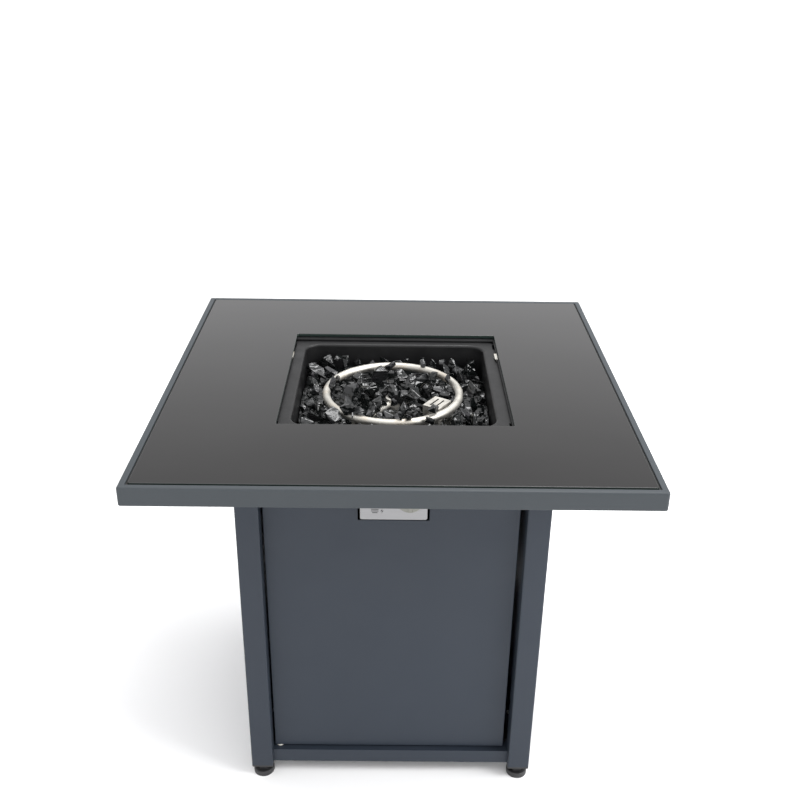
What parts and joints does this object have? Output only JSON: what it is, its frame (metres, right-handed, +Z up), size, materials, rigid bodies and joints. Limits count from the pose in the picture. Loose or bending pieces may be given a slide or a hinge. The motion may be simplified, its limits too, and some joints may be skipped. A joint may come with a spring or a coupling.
{
  "type": "gas fire pit table",
  "caption": "Square fire pit table with a dark glass top round a sunken burner pan of black glass chips, a round tube burner, a silver control plate and a column with a hinged door",
  "frame": {"origin": "On the floor, under the middle of the table", "axes": "+Z is up; the door and the controls face -Y; +X is to the right of someone who faces the door"},
  "size_m": [0.711, 0.711, 0.635],
  "materials": {
    "frame_coat": "satin slate grey powder coat",
    "column_coat": "satin slate grey powder coat",
    "pan_enamel": "heat-proof matt black paint",
    "top_glass": "tempered, back-painted dark grey, glossy",
    "seal_rubber": "matt black",
    "stainless": "brushed stainless steel",
    "zinc_steel": "zinc plated",
    "brass": "turned",
    "aluminium": "as drawn",
    "ceramic": "glazed white",
    "black_plastic": "moulded, fine texture",
    "nylon": "natural nylon",
    "knob_plastic": "moulded, satin olive grey",
    "button_plastic": "moulded, satin black",
    "fascia_silver": "satin silver",
    "fire_glass_chips": "tumbled, glossy black",
    "lead_sleeve": "silicone sleeve",
    "battery_wrap": "plain dark wrap"
  },
  "bodies": {
    "table": {"air_mixer": "aluminium", "burner_crossbar": "stainless", "burner_elbow": "zinc_steel", "burner_nipple": "stainless", "burner_pan": "pan_enamel", "burner_ring": "stainless", "catch_magnet": "black_plastic", "column_base_rails": "column_coat", "column_top_rails": "column_coat", "control_box": "zinc_steel", "control_fascia": "fascia_silver", "deck_bearers": "column_coat", "fascia_screws": "zinc_steel", "feed_pipe": "aluminium", "fire_glass": "fire_glass_chips", "floor_plate": "pan_enamel", "gas_orifice": "brass", "gas_valve": "brass", "glass_gasket": "seal_rubber", "glass_top": "top_glass", "hinge_pins": "zinc_steel", "igniter_battery": "battery_wrap", "igniter_bracket": "stainless", "igniter_cage": "stainless", "igniter_housing": "black_plastic", "igniter_lead": "lead_sleeve", "inlet_fitting": "brass", "pan_clips": "stainless", "pan_locknuts": "zinc_steel", "pan_supports": "pan_enamel", "panel_back": "column_coat", "panel_left": "column_coat", "panel_right": "column_coat", "panel_screws": "zinc_steel", "post_back_left": "column_coat", "post_back_right": "column_coat", "post_front_left": "column_coat", "post_front_right": "column_coat", "post_plugs": "black_plastic", "spark_electrode": "ceramic", "tank_ring": "zinc_steel", "thermocouple_probe": "stainless", "thermocouple_tube": "aluminium", "top_deck": "pan_enamel", "top_rail_back": "frame_coat", "top_rail_front": "frame_coat", "top_rail_left": "frame_coat", "top_rail_right": "frame_coat"},
    "door": {"door_panel": "column_coat", "door_hinge_plates": "column_coat", "hinge_bushes": "nylon", "door_strike": "zinc_steel"},
    "push_collar": {"stem_collar": "zinc_steel"},
    "knob": {"valve_stem": "zinc_steel", "control_knob": "knob_plastic"},
    "spark_button": {"igniter_button": "button_plastic"},
    "front_left_foot": {"foot_front_left": "black_plastic"},
    "front_right_foot": {"foot_front_right": "black_plastic"},
    "back_left_foot": {"foot_back_left": "black_plastic"},
    "back_right_foot": {"foot_back_right": "black_plastic"}
  },
  "joints": [
    {"name": "door_swing", "type": "hinge", "parent": "table", "child": "door", "pos_m": [-0.184, -0.205, 0.314], "axis": [0, 0, -1], "range_deg": [0, 95]},
    {"name": "knob_push", "type": "slide", "parent": "table", "child": "push_collar", "axis": [0, 1, 0], "range_m": [0, 0.0025], "stiffness_N_per_m": 900},
    {"name": "knob_turn", "type": "hinge", "parent": "push_collar", "child": "knob", "pos_m": [0.024, -0.23, 0.546], "axis": [0, -1, 0], "range_deg": [0, 225]},
    {"name": "button_press", "type": "slide", "parent": "table", "child": "spark_button", "axis": [0, 1, 0], "range_m": [0, 0.004], "stiffness_N_per_m": 600},
    {"name": "front_left_foot_turn", "type": "hinge", "parent": "table", "child": "front_left_foot", "pos_m": [-0.2125, -0.2125, 0], "axis": [0, 0, 1], "continuous": true},
    {"name": "front_right_foot_turn", "type": "hinge", "parent": "table", "child": "front_right_foot", "pos_m": [0.2125, -0.2125, 0], "axis": [0, 0, 1], "continuous": true},
    {"name": "back_left_foot_turn", "type": "hinge", "parent": "table", "child": "back_left_foot", "pos_m": [-0.2125, 0.2125, 0], "axis": [0, 0, 1], "continuous": true},
    {"name": "back_right_foot_turn", "type": "hinge", "parent": "table", "child": "back_right_foot", "pos_m": [0.2125, 0.2125, 0], "axis": [0, 0, 1], "continuous": true}
  ]
}
